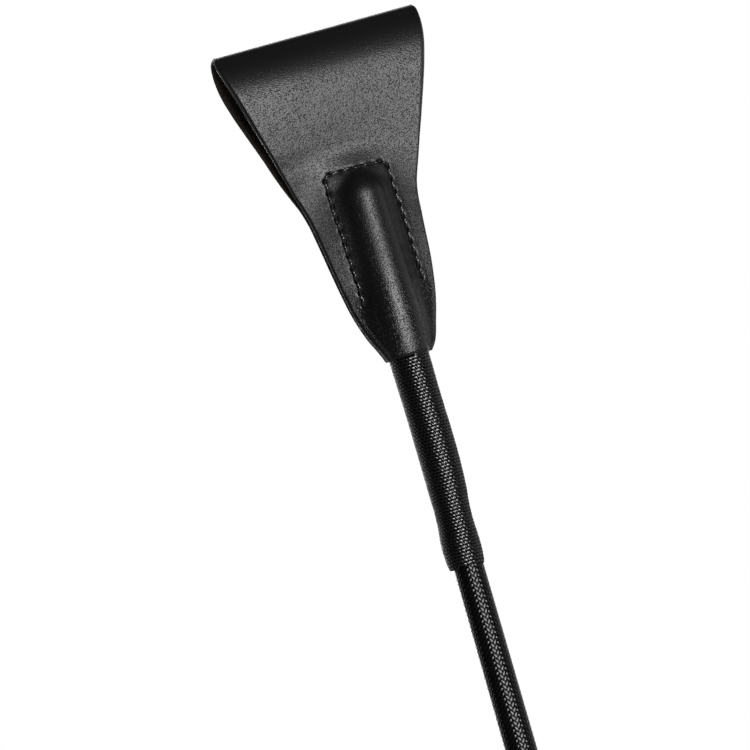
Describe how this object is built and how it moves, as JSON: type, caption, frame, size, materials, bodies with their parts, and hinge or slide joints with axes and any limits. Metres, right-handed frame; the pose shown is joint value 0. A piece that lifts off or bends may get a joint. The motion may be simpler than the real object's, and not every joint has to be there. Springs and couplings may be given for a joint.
{
  "type": "riding crop",
  "caption": "Short jumping crop: a tapered rod in a braided cover, with a folded leather flap sewn and whipped to its tip, a leather grip and a mushroom cap.",
  "frame": {"origin": "on the shaft's axis at the middle of the hand grip, where a rider's hand closes round it", "axes": "+Z along the shaft from the grip to the flap, as the crop is held tip up; the flap's broad faces look along -Y (front, where the shaft's end bulges) and +Y (back), and its width runs along X"},
  "size_m": [0.051, 0.03, 0.65],
  "materials": {
    "glass_fibre": "pultruded glass fibre, satin",
    "nylon_braid": "tightly braided glossy nylon",
    "waxed_thread": "waxed, glossy",
    "flap_leather": "smooth black with a fine grain, satin",
    "grip_leather": "pebbled black, semi-matt",
    "sewing_thread": "bonded, glossy",
    "former_plastic": "moulded, matt",
    "nickel": "polished nickel plate",
    "cap_plastic": "moulded, satin gloss",
    "tip_plastic": "moulded, matt",
    "zinc_steel": "zinc plated"
  },
  "bodies": {
    "crop": {"core_rod": "glass_fibre", "shaft_braid": "nylon_braid", "tip_binding": "waxed_thread", "tip_cap": "tip_plastic", "flap_pocket": "flap_leather", "needle_thread": "sewing_thread", "bobbin_thread": "sewing_thread", "neck_whipping": "waxed_thread", "handle_former": "former_plastic", "grip_cover": "grip_leather", "grip_seam_thread": "sewing_thread", "front_collar": "nickel", "front_whipping": "waxed_thread", "cap_ring": "nickel", "butt_cap": "cap_plastic", "cap_washer": "zinc_steel", "cap_screw": "zinc_steel", "cap_disc": "cap_plastic"},
    "flap": {"flap_loop": "flap_leather"}
  },
  "joints": [
    {"name": "flap_flex", "type": "hinge", "parent": "crop", "child": "flap", "pos_m": [0, 0.0032, 0.5105], "axis": [1, 0, 0], "range_deg": [-35, 35], "stiffness_Nm_per_rad": 0.12}
  ]
}
